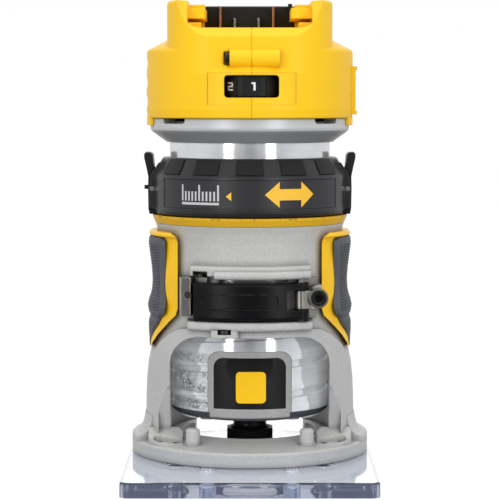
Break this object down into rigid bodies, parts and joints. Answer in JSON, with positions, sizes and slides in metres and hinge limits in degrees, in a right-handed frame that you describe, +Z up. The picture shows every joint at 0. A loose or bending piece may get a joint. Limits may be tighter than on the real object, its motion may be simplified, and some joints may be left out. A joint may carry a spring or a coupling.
{
  "type": "trim router",
  "caption": "Compact cordless trim router: motor in a clamp base with a height ring, locking lever, speed dial, side grips and a clear D-shaped sub-base.",
  "frame": {"origin": "centre of the sub-base underside, on the motor and spindle axis", "axes": "+Z up along the spindle axis, -Y towards the front with the clamp lever, dial and lock button, +X to the right of someone facing the front"},
  "size_m": [0.103, 0.132, 0.1973],
  "materials": {
    "bearing_steel": "ground bearing steel",
    "black_oxide": "black oxide steel",
    "black_plastic": "moulded black plastic",
    "board_green": "circuit board with solder mask",
    "can_aluminium": "turned bare aluminium",
    "cast_grey": "cast aluminium under warm grey sand-textured paint",
    "clear_plate": "clear polycarbonate, polished faces",
    "collar_grey": "cast aluminium under fine metallic grey paint",
    "copper": "copper",
    "dark_screw": "black oxide screws",
    "grip_rubber": "dark grey moulded rubber, finely ribbed",
    "label_black": "satin label film with plain graduations",
    "laminations": "stacked steel laminations",
    "lens": "clear lamp lenses",
    "lever_black": "satin black coating",
    "magnet": "coated magnets",
    "pin_silver": "tin plated contacts",
    "steel": "plain pressed steel",
    "yellow_plastic": "moulded yellow plastic, satin with fine grain"
  },
  "bodies": {
    "base": {"base_casting": "cast_grey", "sub_base": "clear_plate", "sub_base_screws": "dark_screw", "lower_boss_screw": "dark_screw", "grip_left": "grip_rubber", "grip_right": "grip_rubber", "grip_trim_left": "yellow_plastic", "grip_trim_right": "yellow_plastic", "clamp_anchor_block": "steel", "clamp_stop_screw": "dark_screw", "clamp_bracket": "steel", "clamp_hinge_pin": "steel", "clamp_link": "steel", "clamp_adjust_screw": "steel"},
    "clamp_lever": {"clamp_lever": "lever_black"},
    "motor_unit": {"motor_can": "can_aluminium", "motor_collar": "collar_grey", "lower_cap": "cast_grey", "lock_bezel": "black_plastic", "lock_spring": "steel", "led_lenses": "lens", "lower_bearing": "bearing_steel", "upper_bearing": "bearing_steel", "stator_core": "laminations", "stator_windings": "copper", "housing_left": "yellow_plastic", "housing_right": "yellow_plastic", "housing_front_screw": "dark_screw", "collar_screws": "dark_screw", "terminal_block": "black_plastic", "power_blades": "copper", "signal_pins": "pin_silver", "battery_stop": "black_plastic", "control_board": "board_green", "board_components": "black_plastic", "dial_potentiometer": "black_plastic", "switch_module": "black_plastic", "switch_axle": "steel"},
    "depth_ring": {"depth_ring": "black_plastic", "ring_label": "label_black", "ring_grip_pads": "black_plastic", "tab_pivot_pins": "dark_screw"},
    "scale_ring": {"scale_ring": "yellow_plastic"},
    "release_tab_left": {"release_tab_left": "black_plastic"},
    "release_tab_right": {"release_tab_right": "black_plastic"},
    "spindle_unit": {"spindle": "black_oxide", "lock_ring": "black_oxide", "rotor_core": "laminations", "rotor_magnets": "magnet", "cooling_fan": "black_plastic"},
    "collet": {"collet": "bearing_steel"},
    "collet_nut": {"collet_nut": "black_oxide"},
    "speed_dial": {"speed_dial": "black_plastic"},
    "power_switch": {"power_switch": "black_plastic"},
    "lock_button": {"lock_button": "yellow_plastic", "lock_pin": "bearing_steel"}
  },
  "joints": [
    {"name": "motor_slide", "type": "slide", "parent": "base", "child": "motor_unit", "axis": [0, 0, 1], "range_m": [-0.0062, 0.031]},
    {"name": "ring_turn", "type": "hinge", "parent": "base", "child": "depth_ring", "pos_m": [0, 0, 0.118], "axis": [0, 0, 1], "range_deg": [-885, 190]},
    {"name": "scale_turn", "type": "hinge", "parent": "base", "child": "scale_ring", "pos_m": [0, 0, 0.1058], "axis": [0, 0, 1], "continuous": true},
    {"name": "tab_left_squeeze", "type": "hinge", "parent": "depth_ring", "child": "release_tab_left", "pos_m": [-0.0413, 0, 0.1185], "axis": [0, 1, 0], "range_deg": [0, 7]},
    {"name": "tab_right_squeeze", "type": "hinge", "parent": "depth_ring", "child": "release_tab_right", "pos_m": [0.0413, 0, 0.1185], "axis": [0, -1, 0], "range_deg": [0, 7]},
    {"name": "clamp_swing", "type": "hinge", "parent": "base", "child": "clamp_lever", "pos_m": [0.021, -0.0389, 0.0735], "axis": [0, 0, 1], "range_deg": [0, 92]},
    {"name": "spindle_spin", "type": "hinge", "parent": "motor_unit", "child": "spindle_unit", "pos_m": [0, 0, 0.08], "axis": [0, 0, 1], "continuous": true},
    {"name": "collet_travel", "type": "slide", "parent": "spindle_unit", "child": "collet", "axis": [0, 0, -1], "range_m": [0, 0.003]},
    {"name": "nut_turn", "type": "hinge", "parent": "collet", "child": "collet_nut", "pos_m": [0, 0, 0.0118], "axis": [0, 0, -1], "range_deg": [0, 725]},
    {"name": "dial_turn", "type": "hinge", "parent": "motor_unit", "child": "speed_dial", "pos_m": [0.0008, -0.0292, 0.1615], "axis": [0, 0, 1], "range_deg": [0, 270]},
    {"name": "switch_rock", "type": "hinge", "parent": "motor_unit", "child": "power_switch", "pos_m": [0.0396, 0, 0.1595], "axis": [0, -1, 0], "range_deg": [0, 8]},
    {"name": "lock_press", "type": "slide", "parent": "motor_unit", "child": "lock_button", "axis": [0, 1, 0], "range_m": [0, 0.003]}
  ],
  "couplings": [
    {"joint": "ring_turn", "follows": "motor_slide", "rad_per_m": -494.74},
    {"joint": "nut_turn", "follows": "collet_travel", "rad_per_m": 4188.8}
  ]
}
